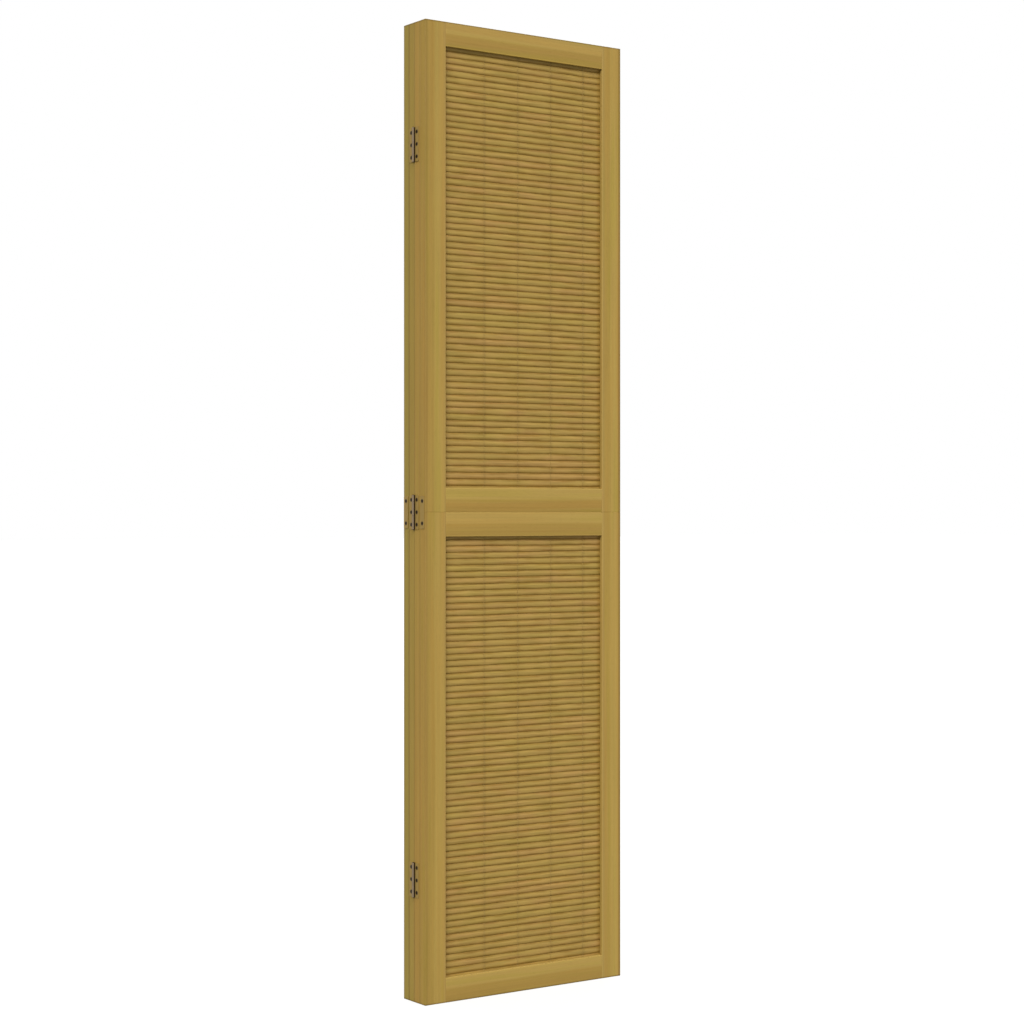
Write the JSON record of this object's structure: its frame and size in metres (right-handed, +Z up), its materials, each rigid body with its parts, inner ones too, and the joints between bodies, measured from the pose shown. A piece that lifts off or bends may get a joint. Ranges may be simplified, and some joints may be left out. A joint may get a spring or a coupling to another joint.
{
  "type": "folding screen",
  "caption": "Folding screen of framed slatted leaves, hinged edge to edge so that it folds flat or stands in a zigzag.",
  "frame": {"origin": "on the floor, under the middle of the folded stack", "axes": "+X across the leaves to the right as seen from the front of leaf 1, +Y from leaf 1 through the stack to leaf 4, +Z up"},
  "size_m": [0.4606, 0.0732, 1.8],
  "materials": {
    "frame_wood": "satin",
    "dowel_wood": "matte",
    "bamboo": "satin",
    "thread": "matte",
    "plate_metal": "satin",
    "screw_metal": "satin"
  },
  "bodies": {
    "leaf_1": {"leaf_1_lower_left_stile": "frame_wood", "leaf_1_lower_right_stile": "frame_wood", "leaf_1_upper_left_stile": "frame_wood", "leaf_1_upper_right_stile": "frame_wood", "leaf_1_lower_rails": "frame_wood", "leaf_1_upper_rails": "frame_wood", "leaf_1_dowels": "dowel_wood", "leaf_1_lower_slats": "bamboo", "leaf_1_upper_slats": "bamboo", "leaf_1_threads": "thread", "leaf_1_screws": "screw_metal", "leaf_1_mending_plate": "plate_metal", "hinge_1_2_front_plates": "plate_metal", "hinge_1_2_pins": "plate_metal"},
    "leaf_2": {"leaf_2_lower_left_stile": "frame_wood", "leaf_2_lower_right_stile": "frame_wood", "leaf_2_upper_left_stile": "frame_wood", "leaf_2_upper_right_stile": "frame_wood", "leaf_2_lower_rails": "frame_wood", "leaf_2_upper_rails": "frame_wood", "leaf_2_dowels": "dowel_wood", "leaf_2_lower_slats": "bamboo", "leaf_2_upper_slats": "bamboo", "leaf_2_threads": "thread", "leaf_2_screws": "screw_metal", "hinge_2_3_front_plates": "plate_metal", "hinge_2_3_pins": "plate_metal", "hinge_1_2_back_plates": "plate_metal"},
    "leaf_3": {"leaf_3_lower_left_stile": "frame_wood", "leaf_3_lower_right_stile": "frame_wood", "leaf_3_upper_left_stile": "frame_wood", "leaf_3_upper_right_stile": "frame_wood", "leaf_3_lower_rails": "frame_wood", "leaf_3_upper_rails": "frame_wood", "leaf_3_dowels": "dowel_wood", "leaf_3_lower_slats": "bamboo", "leaf_3_upper_slats": "bamboo", "leaf_3_threads": "thread", "leaf_3_screws": "screw_metal", "hinge_3_4_front_plates": "plate_metal", "hinge_3_4_pins": "plate_metal", "hinge_2_3_back_plates": "plate_metal"},
    "leaf_4": {"leaf_4_lower_left_stile": "frame_wood", "leaf_4_lower_right_stile": "frame_wood", "leaf_4_upper_left_stile": "frame_wood", "leaf_4_upper_right_stile": "frame_wood", "leaf_4_lower_rails": "frame_wood", "leaf_4_upper_rails": "frame_wood", "leaf_4_dowels": "dowel_wood", "leaf_4_lower_slats": "bamboo", "leaf_4_upper_slats": "bamboo", "leaf_4_threads": "thread", "leaf_4_screws": "screw_metal", "leaf_4_mending_plate": "plate_metal", "hinge_3_4_back_plates": "plate_metal"}
  },
  "joints": [
    {"name": "fold_1_2", "type": "hinge", "parent": "leaf_1", "child": "leaf_2", "pos_m": [0.2278, -0.0184, 0.9], "axis": [0, 0, -1], "range_deg": [0, 180]},
    {"name": "fold_2_3", "type": "hinge", "parent": "leaf_2", "child": "leaf_3", "pos_m": [-0.2278, 0, 0.9], "axis": [0, 0, 1], "range_deg": [0, 180]},
    {"name": "fold_3_4", "type": "hinge", "parent": "leaf_3", "child": "leaf_4", "pos_m": [0.2278, 0.0184, 0.9], "axis": [0, 0, -1], "range_deg": [0, 180]}
  ]
}
